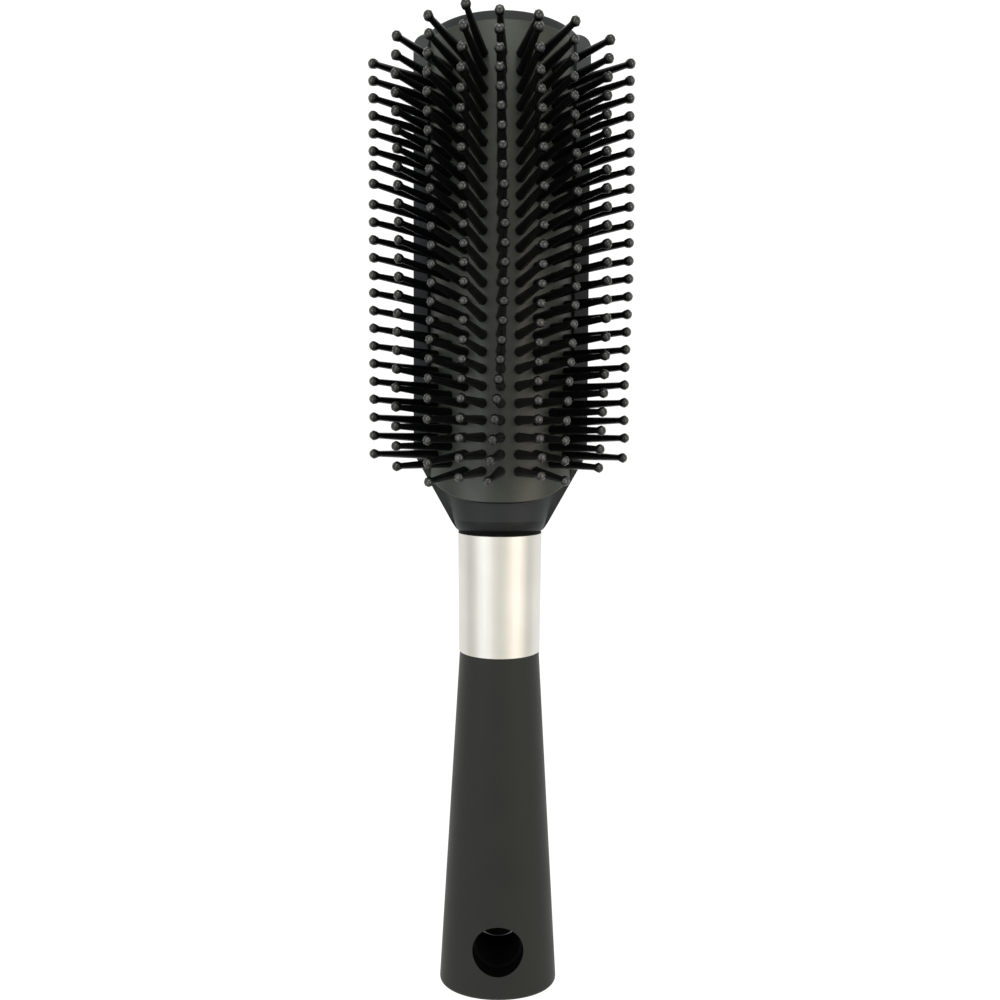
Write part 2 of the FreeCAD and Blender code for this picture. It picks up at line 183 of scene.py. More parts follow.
@dataclass(frozen=True)
class SatinAluminium:
    """Anodised aluminium tube, drawn lengthwise: pale silver with soft even bands."""

    name: str = "satin_anodised_aluminium"
    dark: str = "#d0cec9"
    light: str = "#d9d8d3"
    roughness: tuple[float, float] = (0.4, 0.46)
    # Real draw lines are about 0.05 mm apart; drawn at 0.5 mm so that they show at all
    line_mm: float = 0.5
    line_length_mm: float = 40.0
    line_depth_mm: float = 0.0025
    cloud_mm: float = 16.0

    def material(self) -> bpy.types.Material:
        """Build the finish.

        Returns:
            The material, its draw lines running along the brush.
        """
        material, tree = blank_material(self.name)
        place = add_node(tree, "ShaderNodeTexCoord").outputs["Object"]
        stretched = add_node(tree, "ShaderNodeMapping", {
            "Vector": place,
            "Scale": (1.0, self.line_mm / self.line_length_mm, 1.0)}).outputs["Vector"]
        lines = add_node(tree, "ShaderNodeTexNoise", {
            "Vector": stretched, "Scale": per_metre(self.line_mm), "Detail": 2.0,
        }).outputs["Fac"]
        cloud = add_node(tree, "ShaderNodeTexNoise", {
            "Vector": place, "Scale": per_metre(self.cloud_mm), "Detail": 3.0}).outputs["Fac"]
        colour = colour_ramp(tree, cloud, [*zip(NOISE_SPAN, (self.dark, self.light))])
        gloss = add_node(tree, "ShaderNodeMapRange", {
            "Value": lines, "From Min": NOISE_SPAN[0], "From Max": NOISE_SPAN[1],
            "To Min": self.roughness[0], "To Max": self.roughness[1]}).outputs["Result"]
        bump = add_node(tree, "ShaderNodeBump", {
            "Strength": 1.0, "Distance": self.line_depth_mm * MM,
            "Height": lines}).outputs["Normal"]
        shader = add_node(tree, "ShaderNodeBsdfPrincipled", {
            "Base Color": colour, "Roughness": gloss, "Normal": bump, "Metallic": 1.0})
        add_node(tree, "ShaderNodeOutputMaterial", {"Surface": shader.outputs["BSDF"]})
        return material


@dataclass(frozen=True)
class LightTable:
    """Frosted white acrylic that glows softly, with a painted shadow under the hang hole."""

    name: str = "frosted_white_acrylic"
    colour: str = "#6a6a69"
    glow: float = 1.0
    light: str = "#ffffff"
    roughness: tuple[float, float] = (0.85, 0.95)
    specular: float = 0.1
    cloud_mm: float = 300.0
    # The painted shadow spot: its colour, its place along the brush and where it starts and ends
    # to fade
    shade: str = "#1c1c1c"
    shade_along_mm: float = -105.8
    shade_mm: tuple[float, float] = (5.9, 6.9)

    def material(self) -> bpy.types.Material:
        """Build the finish.

        Returns:
            The material, its glow fading out and its colour darkening in a painted shadow where
            the hang hole covers it.
        """
        material, tree = blank_material(self.name)
        place = add_node(tree, "ShaderNodeTexCoord").outputs["Object"]
        away = add_node(tree, "ShaderNodeVectorMath", {
            0: place, 1: (0.0, self.shade_along_mm * MM, 0.0)}, operation="DISTANCE")
        # painted shadow: under the hang hole the floor's colour darkens and its glow fades out
        clear = add_node(tree, "ShaderNodeMapRange", {
            "Value": away.outputs["Value"], "From Min": self.shade_mm[0] * MM,
            "From Max": self.shade_mm[1] * MM}, interpolation_type="SMOOTHSTEP"
        ).outputs["Result"]
        colour = colour_ramp(tree, clear, [(0.0, self.shade), (1.0, self.colour)])
        glow = add_node(tree, "ShaderNodeMath", {0: clear, 1: self.glow},
                        operation="MULTIPLY").outputs["Value"]
        cloud = add_node(tree, "ShaderNodeTexNoise", {
            "Vector": place, "Scale": per_metre(self.cloud_mm), "Detail": 2.0}).outputs["Fac"]
        rough = add_node(tree, "ShaderNodeMapRange", {
            "Value": cloud, "To Min": self.roughness[0], "To Max": self.roughness[1]
        }).outputs["Result"]
        shader = add_node(tree, "ShaderNodeBsdfPrincipled", {
            "Base Color": colour, "Roughness": rough, "Specular IOR Level": self.specular,
            "Emission Color": linear_colour(self.light), "Emission Strength": glow})
        add_node(tree, "ShaderNodeOutputMaterial", {"Surface": shader.outputs["BSDF"]})
        return material


class Finish(Enum):
    """Every finish on the brush, each with what it gives the eye."""

    # Glass-filled nylon from a spark-eroded mould: charcoal, dull, with a very fine grain.
    # The real grain is about 0.1 mm; drawn at 0.3 mm so that it shows.
    FRAME = Polymer("spark_eroded_nylon_charcoal", "#1a1d1f", "#23272a", (0.48, 0.58),
                    14.0, 0.3, 0.02, specular=0.3)
    # Pressed silicone rubber: grey-green black with a broad soft sheen
    PAD = Polymer("silicone_rubber_grey_green", "#252923", "#30352d", (0.3, 0.38),
                  8.0, 0.5, 0.015, specular=0.5)
    # Moulded nylon stems of the pins: near black with a cold cast, hardly any sheen
    PIN = Polymer("moulded_nylon_black", "#010204", "#040508", (0.3, 0.4),
                  5.0, 0.6, 0.0003, specular=0.3)
    # The crowns of the pins' ball tips, polished by use: as black, with small bright highlights
    TIP = Polymer("polished_nylon_black", "#020304", "#050608", (0.12, 0.18),
                  5.0, 0.6, 0.0003, specular=0.8)
    # The frame's nylon along the rails, painted paler as painted light from the sides
    RAIL_LIT = Polymer("nylon_charcoal_painted_light", "#282b2e", "#363a3e", (0.46, 0.56),
                   12.0, 0.3, 0.02, specular=0.35)
    # The same nylon where the shoulder turns down to the collar: smoother, and darker as painted
    # shade
    RIM_SHADE = Polymer("nylon_charcoal_painted_shade", "#0c0e10", "#121517", (0.42, 0.5),
                  10.0, 0.3, 0.01, specular=0.25)
    # Plain moulded polypropylene, seen only down the hang hole: black and dull. The same black is
    # painted shade in the groove beside the collar and on the hang hole's wall
    CORE = Polymer("moulded_polypropylene_black", "#010202", "#030404", (0.5, 0.6),
                   6.0, 0.4, 0.01, specular=0.1)
    # Soft-touch elastomer sleeve: charcoal, velvety, its gloss slightly uneven from handling
    GRIP = Polymer("soft_touch_elastomer_charcoal", "#171917", "#1d1f1c", (0.5, 0.62),
                   16.0, 0.35, 0.02, specular=0.3, sheen=0.05)
    COLLAR = SatinAluminium()


Finishes = dict[Finish, bpy.types.Material]


def finish_mesh(name: str, bm: bmesh.types.BMesh, *materials: bpy.types.Material,
                sharp_angle: float = SHARP_ANGLE) -> bpy.types.Object:
    """Turn a bmesh into a smooth-shaded object at the origin.

    Args:
        name: The piece's name.
        bm: The finished mesh, freed here.
        materials: The materials that its faces number from 0.
        sharp_angle: Edges bent more than this many degrees stay sharp.

    Returns:
        The new object.
    """
    bmesh.ops.recalc_face_normals(bm, faces=bm.faces)
    for face in bm.faces:
        face.smooth = True
    mesh = bpy.data.meshes.new(name)
    bm.to_mesh(mesh)
    bm.free()
    mesh.set_sharp_from_angle(angle=math.radians(sharp_angle))
    for material in materials:
        mesh.materials.append(material)
    piece = bpy.data.objects.new(name, mesh)
    bpy.context.scene.collection.objects.link(piece)
    return piece


def round_edges(piece: bpy.types.Object, width_mm: float) -> None:
    """Round every sharply bent edge, and even out the shading after it.

    Args:
        piece: The object that takes the modifiers.
        width_mm: Size of the rounding.
    """
    bevel = piece.modifiers.new("round_edges", "BEVEL")
    bevel.width = width_mm * MM
    bevel.segments = 3
    bevel.limit_method = "ANGLE"
    bevel.angle_limit = math.radians(SHARP_ANGLE)
    even = piece.modifiers.new("even_shading", "WEIGHTED_NORMAL")
    even.keep_sharp = True


def cut_away(piece: bpy.types.Object, cutter: bpy.types.Object) -> None:
    """Cut one mesh out of another and throw the cutter away.

    Args:
        piece: The object that is cut, its mesh replaced by the result.
        cutter: A closed object, removed here.
    """
    cut = piece.modifiers.new("cut", "BOOLEAN")
    cut.operation = "DIFFERENCE"
    cut.solver = "EXACT"
    cut.object = cutter
    bpy.context.view_layer.update()
    graph = bpy.context.evaluated_depsgraph_get()
    result = bpy.data.meshes.new_from_object(piece.evaluated_get(graph))
    piece.modifiers.remove(cut)
    old = piece.data
    piece.data = result
    bpy.data.meshes.remove(old)
    bpy.data.objects.remove(cutter)
    result.set_sharp_from_angle(angle=math.radians(SHARP_ANGLE))


def ring(bm: bmesh.types.BMesh, segments: int, shape: Shape, along: float,
         slant: tuple[float, float] = (0.0, 0.0)) -> Edges:
    """Make a closed loop across the brush.

    Args:
        bm: The mesh that takes the loop.
        segments: Number of edges.
        shape: Gives across and up in mm for a share from 0 to 1 round the loop.
        along: The loop's place along the brush in mm.
        slant: How steeply the loop leans towards the head's end below a height, and that
            height in mm.

    Returns:
        The loop's edges.
    """
    made = bmesh.ops.create_circle(bm, cap_ends=False, segments=segments, radius=1.0)
    for index, vert in enumerate(made["verts"]):
        across, up = shape(index / segments)
        vert.co = Vector((across, along + slant[0] * (slant[1] - up), up)) * MM
    return list({edge for vert in made["verts"] for edge in vert.link_edges})


def loft(rings: list[Edges], bm: bmesh.types.BMesh, closed: bool = True) -> None:
    """Join loops into one skin.

    Args:
        rings: The loops' edges, in order.
        bm: The mesh that holds them.
        closed: Whether the first and last loops get a flat cap.
    """
    for first, second in zip(rings[:-1], rings[1:]):
        bmesh.ops.bridge_loops(bm, edges=first + second)
    if closed:
        bmesh.ops.holes_fill(bm, edges=rings[0] + rings[-1])


def quarter_turn(reach: float, depth: float, steps: int = 6) -> Points:
    """Give the steps of a rounded rim.

    Args:
        reach: How far the rounding runs along the brush, in mm.
        depth: How far it turns inwards, in mm.
        steps: Steps across it.

    Returns:
        How far along and how far in each step lies, from the side to the end face.
    """
    turns = [math.pi / 2 * step / steps for step in range(1, steps + 1)]
    return [(reach * math.sin(turn), depth * (1 - math.cos(turn))) for turn in turns]


def oval(half_width: float, half_height: float, axis_height: float) -> Shape:
    """Give the shape of an upright oval as a function of the share round it.

    Args:
        half_width: Half of its width in mm.
        half_height: Half of its height in mm.
        axis_height: Height of its middle in mm.

    Returns:
        A function from a share to across and up.
    """
    def point(share: float) -> tuple[float, float]:
        """Across and up at one share."""
        turn = 2 * math.pi * share
        return (half_width * math.sin(turn), axis_height - half_height * math.cos(turn))
    return point


def place_piece(piece: bpy.types.Object, slot: str, *nodes: str) -> None:
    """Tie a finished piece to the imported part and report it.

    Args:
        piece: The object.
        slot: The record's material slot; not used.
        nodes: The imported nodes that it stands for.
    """
    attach(piece, BODY)
    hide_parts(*nodes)
    log.info("%s stands for %s, %d faces", piece.name, ", ".join(nodes), len(piece.data.polygons))


@dataclass
class HeadArch:
    """The half round of the head, shared by the pad, the frame and the pins. Sizes in mm."""

    radius: float = 21.5
    centre_height: float = -2.5
    row_angle: float = 11.8
    row_edge: float = 4.5
    pad_thickness: float = 2.4
    spine_thickness: float = 1.2
    pad_low: float = 5.15
    pad_high: float = 115.85
    tongue_drop: float = 5.2
    tongue_power: float = 3.2
    gap: float = 0.3
    end_gap: float = 0.04
    turns: int = 48

    @property
    def edge_angle(self) -> float:
        """Angle from the crown to the pad's side edge, in radians."""
        return math.radians(self.row_angle * self.row_edge)

    def low_edge(self, turn: float) -> float:
        """Place along the brush of the pad's lower edge at an angle from the crown."""
        share = min(1.0, abs(math.sin(turn)) / math.sin(self.edge_angle))
        return self.pad_low + self.tongue_drop * share ** self.tongue_power

    @property
    def floor_radius(self) -> float:
        """Radius of the frame's arched floor, which the strips lie on."""
        return self.radius - self.pad_thickness - self.spine_thickness

    def sector(self, bm: bmesh.types.BMesh, inner: float, outer: float, grow: float,
               rows: int) -> None:
        """Add a solid sector of the arch that follows the tongue at its lower end.

        Args:
            bm: The mesh that takes it.
            inner: Its inner radius in mm.
            outer: Its outer radius in mm.
            grow: How far it reaches past the pad's sides and lower edge, in mm.
            rows: Steps along the brush.
        """
        reach = self.edge_angle + grow / self.radius
        high = self.pad_high + min(grow, self.end_gap)
        start = bmesh.ops.create_vert(bm, co=(0.0, 0.0, (self.centre_height + outer) * MM))
        centre = Vector((0.0, 0.0, self.centre_height * MM))
        bmesh.ops.rotate(bm, verts=start["vert"], cent=centre,
                         matrix=Matrix.Rotation(-reach, 3, "Y"))
        bmesh.ops.spin(bm, geom=start["vert"], cent=centre, axis=(0.0, 1.0, 0.0),
                       angle=2 * reach, steps=self.turns)
        bmesh.ops.spin(bm, geom=bm.verts[:] + bm.edges[:], cent=(0.0, 0.0, 0.0),
                       axis=(0.0, 1.0, 0.0), dvec=(0.0, MM, 0.0), angle=0.0, steps=rows)
        for vert in bm.verts:
            turn = math.atan2(vert.co.x, vert.co.z - centre.z)
            low = self.low_edge(turn) - grow
            share = vert.co.y / (rows * MM)
            vert.co.y = (low + (high - low) * share) * MM
        bmesh.ops.recalc_face_normals(bm, faces=bm.faces)
        out = sum(face.normal.dot(face.calc_center_median() - centre) for face in bm.faces)
        if out < 0:
            bmesh.ops.reverse_faces(bm, faces=bm.faces)
        bmesh.ops.solidify(bm, geom=bm.faces[:], thickness=(outer - inner) * MM)


@dataclass
class CushionPad:
    """The rubber arch that the pins stand in."""

    arch: HeadArch
    edge_round: float = 0.15
    rows: int = 60

    def build(self, finishes: Finishes) -> bpy.types.Object:
        """Build the pad.

        Args:
            finishes: The material of every finish.

        Returns:
            The pad's object.
        """
        bm = bmesh.new()
        arch = self.arch
        arch.sector(bm, arch.radius - arch.pad_thickness, arch.radius, 0.0, self.rows)
        pad = finish_mesh("pad", bm, finishes[Finish.PAD])
        round_edges(pad, self.edge_round)
        place_piece(pad, "pad_rubber", "cushion_pad")
        return pad


@dataclass
class HeadFrame:
    """Rails, end wall and shoulder in one moulding. Sizes in mm."""

    arch: HeadArch
    arch_radius: float = 21.2
    rail_half_width: float = 21.3
    rail_top: float = 10.4
    side_low: float = 7.5
    # Least height of the upright side, where the head's corners drop
    side_least: float = 1.0
    back_flat: float = 9.0
    back_bulge: tuple[float, float] = (18.2, 1.4)
    end: float = 118.25
    end_round: float = 0.8
    # How far the head's corners are cut across and along, and how far their top falls
    corner: tuple[float, float] = (5.0, 4.6)
    corner_drop: float = 2.9
    # Degrees round the corner, and places between there and the shoulder, that get a section
    corner_turns: tuple[int, ...] = (48, 40, 32, 24, 16, 8, 0)
    rail_places: tuple[float, ...] = (90.0, 60.0, 35.0, 24.0)
    # Half width and height beyond which the rails are painted paler, as painted light
    lit_rail_bounds: tuple[float, float] = (16.0, 6.5)
    shoulder_start: float = 16.75
    shoulder_end: float = -2.25
    shoulder_half_width: float = 10.9
    shoulder_ledge: float = 0.15
    shoulder_top: float = 17.2
    shoulder_axis: float = 8.5
    shoulder_bulge: float = 1.2
    shoulder_steps: int = 14
    # How far the rim's rounding runs along the brush, turns in and turns down
    shoulder_rim: tuple[float, float, float] = (2.6, 0.45, 1.5)
    # Rounds of blending, and the shares of the shoulder's length and width that take part
    softening: int = 20
    softened: tuple[float, float] = (0.85, 0.985)
    # Half width, half height and both ends of the groove's floor and of the neck itself
    neck: tuple[tuple[float, float, float, float], ...] = (
        (10.3, 6.6, -1.9, -3.05), (9.2, 6.5, -2.1, -4.1))
    neck_segments: int = 64
    recess_rise: float = 6.0
    recess_rows: int = 40
    edge_round: float = 0.4
    weld: float = 0.005
    # Steps across the flat back, the rounded back, the upright side, the ledge and the arch
    steps: tuple[int, int, int, int, int] = (4, 10, 3, 4, 27)
    # Finishes in general, painted shade where the shoulder turns down to the collar, painted shade
    # in the groove beside the collar and painted light along the rails
    zones: tuple[Finish, ...] = (Finish.FRAME, Finish.RIM_SHADE, Finish.CORE, Finish.RAIL_LIT)

    def half_outline(self, wide: float, flat: float, bulge: tuple[float, float], low: float,
                     ledge: float, arch: Shape) -> Points:
        """Give half of a cross-section, from the middle of the back up to the crown.

        Args:
            wide: Half width at the rails.
            flat: Half width of the flat back.
            bulge: Across and up of the point that pulls the rounded back outwards.
            low: Height where the upright side starts.
            ledge: Height of the rail's top.
            arch: Gives across and up for a share from 1 at the rail to 0 at the crown.

        Returns:
            The points, across and up in mm.
        """
        flat_steps, back_steps, side_steps, ledge_steps, arch_steps = self.steps
        points = [(flat * step / flat_steps, 0.0) for step in range(flat_steps)]
        for step in range(back_steps):
            share = step / back_steps
            weights = ((1 - share) ** 2, 2 * share * (1 - share), share ** 2)
            keys = ((flat, 0.0), bulge, (wide, low))
            points.append(tuple(
                sum(weight * key[side] for weight, key in zip(weights, keys))
                for side in (0, 1)))
        for step in range(side_steps):
            points.append((wide, low + (ledge - low) * step / side_steps))
        inner = arch(1.0)
        for step in range(ledge_steps):
            share = step / ledge_steps
            points.append((wide + (inner[0] - wide) * share, ledge + (inner[1] - ledge) * share))
        for step in range(arch_steps + 1):
            points.append(arch(1 - step / arch_steps))
        return points

    def full_outline(self, along: float) -> Points:
        """Give half of the cross-section at the rails, narrowed in the head's corners.

        Args:
            along: Its place along the frame in mm.

        Returns:
            The points, across and up in mm.
        """
        into = max(0.0, along - self.end + self.corner[1]) / self.corner[1]
        turned = 1 - math.sqrt(max(0.0, 1 - into ** 2))
        ledge = self.rail_top - self.corner_drop * turned
        edge = math.acos((ledge - self.arch.centre_height) / self.arch_radius)

        def crown(share: float) -> tuple[float, float]:
            """Across and up on the big arch."""
            turn = edge * share
            return (self.arch_radius * math.sin(turn),
                    self.arch.centre_height + self.arch_radius * math.cos(turn))

        wide = self.rail_half_width - self.corner[0] * turned
        outline = self.half_outline(self.rail_half_width, self.back_flat, self.back_bulge,
                                    min(self.side_low, ledge - self.side_least), ledge, crown)
        return [(min(across, wide), up) for across, up in outline]

    def neck_outline(self) -> Points:
        """Give half of the cross-section at the end of the shoulder.

        Returns:
            The points, across and up in mm.
        """
        half = self.shoulder_half_width - self.shoulder_ledge

        def crown(share: float) -> tuple[float, float]:
            """Across and up on the small arch."""
            turn = math.pi / 2 * share
            return (half * math.sin(turn),
                    self.shoulder_axis + (self.shoulder_top - self.shoulder_axis) * math.cos(turn))

        return self.half_outline(
            self.shoulder_half_width, self.shoulder_half_width / 3,
            (self.shoulder_half_width - self.shoulder_bulge, self.shoulder_bulge),
            self.shoulder_axis - self.shoulder_bulge, self.shoulder_axis, crown)

    def section(self, along: float) -> Points:
        """Give half of the cross-section anywhere along the frame.

        Args:
            along: Its place in mm.

        Returns:
            The points, across and up in mm.
        """
        full = self.full_outline(along)
        share = (self.shoulder_start - along) / (self.shoulder_start - self.shoulder_end)
        if share <= 0:
            return full
        return [(a + (c - a) * share, b + (d - b) * share)
                for (a, b), (c, d) in zip(full, self.neck_outline())]

    def ring_at(self, bm: bmesh.types.BMesh, along: float, aside: float, down: float) -> Edges:
        """Add the whole cross-section at a place along the frame.

        Args:
            bm: The mesh that takes it.
            along: Its place in mm.
            aside: How far its sides are drawn in, in mm.
            down: How far its top and bottom are drawn in, in mm.

        Returns:
            The loop's edges.
        """
        half = self.section(along)
        count = len(half) - 1
        wide = max(across for across, _ in half)
        middle = max(up for _, up in half) / 2
        half = [(across * (1 - aside / wide), middle + (up - middle) * (1 - down / middle))
                for across, up in half]

        def point(share: float) -> tuple[float, float]:
            """Give a point of the whole section.

            Args:
                share: How far round it lies, from 0 to 1.

            Returns:
                Across and up in mm.
            """
            index = round(share * 2 * count)
            if index <= count:
                return half[index]
            across, up = half[2 * count - index]
            return (-across, up)

        return ring(bm, 2 * count, point, along)

    @property
    def rim_low(self) -> float:
        """Place along the brush where the shoulder starts to turn down, in mm."""
        return self.shoulder_end + self.shoulder_rim[0]

    def stations(self) -> list[tuple[float, float, float]]:
        """Give the cross-sections from the head's end to the collar.

        Returns:
            Of each its place along the frame, and how far its sides and its top and bottom
            are drawn in, in mm.
        """
        straight = self.end - self.end_round
        corner = [self.end - self.corner[1] * (1 - math.sin(math.radians(turn)))
                  for turn in self.corner_turns]
        reach, aside, down = self.shoulder_rim
        low, start, steps = self.rim_low, self.shoulder_start, self.shoulder_steps
        slope = [start + (low - start) * step / steps for step in range(1, steps + 1)]
        rounded = [(straight + more, inset, inset) for more, inset in
                   reversed(quarter_turn(self.end_round, self.end_round))]
        plain = [(along, 0.0, 0.0)
                 for along in [straight, *corner, *self.rail_places, start, *slope]]
        rim = [(low - more, aside * turned, down * turned)
               for more, turned in quarter_turn(reach, 1.0)]
        return rounded + plain + rim

    def mark_zones(self, bm: bmesh.types.BMesh) -> None:
        """Number the faces of the frame's skin by their finish: painted shade where the shoulder
        turns down, painted light along the rails.

        Args:
            bm: The frame's skin.
        """
        for face in bm.faces:
            across, along, up = face.calc_center_median() / MM
            if along < self.rim_low:
                # painted shade: the shoulder's downturn gets the darker copy of the frame's nylon
                face.material_index = self.zones.index(Finish.RIM_SHADE)
            elif (along > self.shoulder_start and abs(across) > self.lit_rail_bounds[0]
                  and up > self.lit_rail_bounds[1]):
                # painted light: the rails' outer tops get the paler copy of the frame's nylon
                face.material_index = self.zones.index(Finish.RAIL_LIT)

    def build(self, finishes: Finishes) -> bpy.types.Object:
        """Build the frame.

        Args:
            finishes: The material of every finish.

        Returns:
            The frame's object.
        """
        materials = [finishes[zone] for zone in self.zones]
        bm = bmesh.new()
        loft([self.ring_at(bm, *station) for station in self.stations()], bm)
        bmesh.ops.remove_doubles(bm, verts=bm.verts, dist=self.weld * MM)
        self.soften_shoulder(bm)
        self.mark_zones(bm)
        hull = finish_mesh("frame_moulding", bm, *materials)
        recess = bmesh.new()
        arch = self.arch
        arch.sector(recess, arch.floor_radius, arch.radius + self.recess_rise, arch.gap,
                    self.recess_rows)
        cut_away(hull, finish_mesh("recess", recess, *materials))
        self.add_neck(hull)
        round_edges(hull, self.edge_round)
        place_piece(hull, "frame_plastic", "head_frame")
        return hull

    def add_neck(self, hull: bpy.types.Object) -> None:
        """Add the neck that fills the groove between shoulder and collar, black as painted shade.

        Args:
            hull: The moulding.
        """
        bm = bmesh.new()
        bm.from_mesh(hull.data)
        before = set(bm.faces)
        for half_width, half_height, start, end in self.neck:
            shape = oval(half_width, half_height, self.shoulder_axis)
            loft([ring(bm, self.neck_segments, shape, along) for along in (start, end)], bm)
        made = [face for face in bm.faces if face not in before]
        bmesh.ops.recalc_face_normals(bm, faces=made)
        for face in made:
            face.smooth = True
            # painted shade: the neck in the groove gets the core's black instead of the frame's
            # nylon
            face.material_index = self.zones.index(Finish.CORE)
        bm.to_mesh(hull.data)
        bm.free()
        hull.data.set_sharp_from_angle(angle=math.radians(SHARP_ANGLE))

    def soften_shoulder(self, bm: bmesh.types.BMesh) -> None:
        """Blend the rails' corners away where the shoulder narrows to the neck.

        Args:
            bm: The frame's skin, smoothed here inside the shoulder's outline.
        """
        low, high = self.rim_low, self.shoulder_start
        shoulder = []
        for vert in bm.verts:
            share = (vert.co.y / MM - low) / (high - low)
            wide = self.shoulder_half_width + share * (
                self.rail_half_width - self.shoulder_half_width)
            if 0 < share < self.softened[0] and abs(vert.co.x) < self.softened[1] * wide * MM:
                shoulder.append(vert)
        for _ in range(self.softening):
            bmesh.ops.smooth_vert(bm, verts=shoulder, factor=0.5, use_axis_x=True,
                                  use_axis_y=False, use_axis_z=True)


class Side(Enum):
    """Which side of the crown a row of pins stands on, as the sign of its angle."""

    LEFT = -1
    CENTRE = 0
    RIGHT = 1


@dataclass
class PinRow:
    """One strip of ball-tipped pins. Sizes in mm."""

    arch: HeadArch
    side: Side
    number: int
    count: int
    # How far the tips lean at five even stations from the neck to the head's end
    lean_across: tuple[float, ...] = (0.0, 0.0, 0.0, 0.0, 0.0)
    lean_along: tuple[float, ...] = (0.0, 0.0, 0.0, 0.0, 0.0)
    # Pins that are bent out of line: number from the neck, extra lean across and along
    bent: tuple[tuple[int, float, float], ...] = ()
    pitch: float = 4.0
    centre_along: float = 60.45
    height: float = 18.8
    sides: int = 8
    spine_width: float = 3.0
    spine_overhang: float = 1.5
    # Radius and height above the pad: flared foot, long taper, slim neck, dimpled ball
    profile: tuple[tuple[float, float], ...] = (
        (1.3, -0.25), (1.18, 0.5), (0.7, 16.5), (1.0, 17.15), (1.16, 17.8), (1.08, 18.15),
        (0.88, 18.48), (0.6, 18.7), (0.4, 18.8), (0.0, 18.66))
    # Height above which a ball is polished by use
    polish_low: float = 18.4
    # Pins lean only this far out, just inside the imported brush's own half width
    widest: float = 29.88
    # How fast the lean grows with height
    lean_power: float = 1.3
    weld: float = 0.0005
    # Only the seams of the stems stay sharp
    sharp_angle: float = 60.0
    # Stems with their strip, and the crowns of the balls
    zones: tuple[Finish, ...] = (Finish.PIN, Finish.TIP)

    @property
    def name(self) -> str:
        """The row's name."""
        if self.side is Side.CENTRE:
            return "pins_centre"
        return f"pins_{self.side.name.lower()}_{self.number}"

    @property
    def node(self) -> str:
        """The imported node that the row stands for."""
        if self.side is Side.CENTRE:
            return "pin_strip_centre"
        return f"pin_strip_{self.side.name.lower()}_{self.number}"

    @property
    def turn(self) -> float:
        """The row's angle from the crown, in radians."""
        return math.radians(self.arch.row_angle * self.side.value * self.number)

    def sway(self, share: float) -> tuple[float, float]:
        """How far a tip leans across the row and along it, in mm.

        Args:
            share: Place along the row, from 0 at the neck to 1 at the head's end.

        Returns:
            The lean across and along.
        """
        def between(values: tuple[float, ...]) -> float:
            """Read the smooth curve through evenly spaced stations at the share.

            Args:
                values: The curve's value at each station.

            Returns:
                Its value there.
            """
            steps = len(values) - 1
            total = 0.0
            for at, value in enumerate(values):
                weight = 1.0
                for other in range(steps + 1):
                    if other != at:
                        weight *= (share * steps - other) / (at - other)
                total += value * weight
            return total

        return between(self.lean_across), between(self.lean_along)

    def lean(self, index: int) -> Vector:
        """How far the tip of one pin leans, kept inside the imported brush's width.

        Args:
            index: The pin's number from the neck.

        Returns:
            The lean across the row and along it, in mm.
        """
        across, along = self.sway(index / (self.count - 1))
        for number, more_across, more_along in self.bent:
            if number == index:
                across, along = across + more_across, along + more_along
        outer = max((self.arch.radius + up) * math.sin(abs(self.turn))
                    + radius * math.cos(self.turn) for radius, up in self.profile)
        room = (self.widest - outer) / math.cos(self.turn)
        if across * self.side.value > 0:
            across = self.side.value * min(abs(across), room)
        return Vector((across, along, 0.0))

    def seat(self, along: float, up: float) -> Matrix:
        """Give the place of something that stands square to the arch in this row.

        Args:
            along: Its place along the brush in mm.
            up: Its distance from the arch's centre in mm.

        Returns:
            The matrix that takes it there from the origin.
        """
        foot = Matrix.Translation((0.0, along * MM, self.arch.centre_height * MM))
        lift = Matrix.Translation((0.0, 0.0, up * MM))
        return foot @ Matrix.Rotation(self.turn, 4, "Y") @ lift

    def add_pin(self, bm: bmesh.types.BMesh, index: int) -> None:
        """Add one pin at its place in the row.

        Args:
            bm: The row's mesh.
            index: The pin's number from the neck.
        """
        before = set(bm.verts)
        chain = [bm.verts.new((radius * MM, 0.0, up * MM)) for radius, up in self.profile]
        edges = [bm.edges.new(pair) for pair in zip(chain[:-1], chain[1:])]
        bmesh.ops.spin(bm, geom=chain + edges, cent=(0.0, 0.0, 0.0), axis=(0.0, 0.0, 1.0),
                       angle=2 * math.pi, steps=self.sides, use_merge=True)
        made = [vert for vert in bm.verts if vert not in before]
        bmesh.ops.remove_doubles(bm, verts=made, dist=self.weld * MM)
        made = [vert for vert in bm.verts if vert not in before]
        for face in {face for vert in made for face in vert.link_faces}:
            if face.calc_center_median().z > self.polish_low * MM:
                face.material_index = self.zones.index(Finish.TIP)
        lean = self.lean(index)
        for vert in made:
            share = max(0.0, vert.co.z / (self.height * MM)) ** self.lean_power
            vert.co += lean * (share * MM)
        place = self.centre_along + (index - (self.count - 1) / 2) * self.pitch
        bmesh.ops.transform(bm, matrix=self.seat(place, self.arch.radius), verts=made)

    def build(self, finishes: Finishes) -> bpy.types.Object:
        """Build the row.

        Args:
            finishes: The material of every finish.

        Returns:
            The row's object.
        """
        bm = bmesh.new()
        for index in range(self.count):
            self.add_pin(bm, index)
        length = (self.count - 1) * self.pitch + 2 * self.spine_overhang
        middle = self.arch.floor_radius + self.arch.spine_thickness / 2
        size = Matrix.Diagonal((self.spine_width * MM, length * MM,
                                self.arch.spine_thickness * MM, 1.0))
        bmesh.ops.create_cube(bm, size=1.0, matrix=self.seat(self.centre_along, middle) @ size)
        row = finish_mesh(self.name, bm, *(finishes[zone] for zone in self.zones),
                          sharp_angle=self.sharp_angle)
        place_piece(row, "pin_plastic", self.node)
        return row


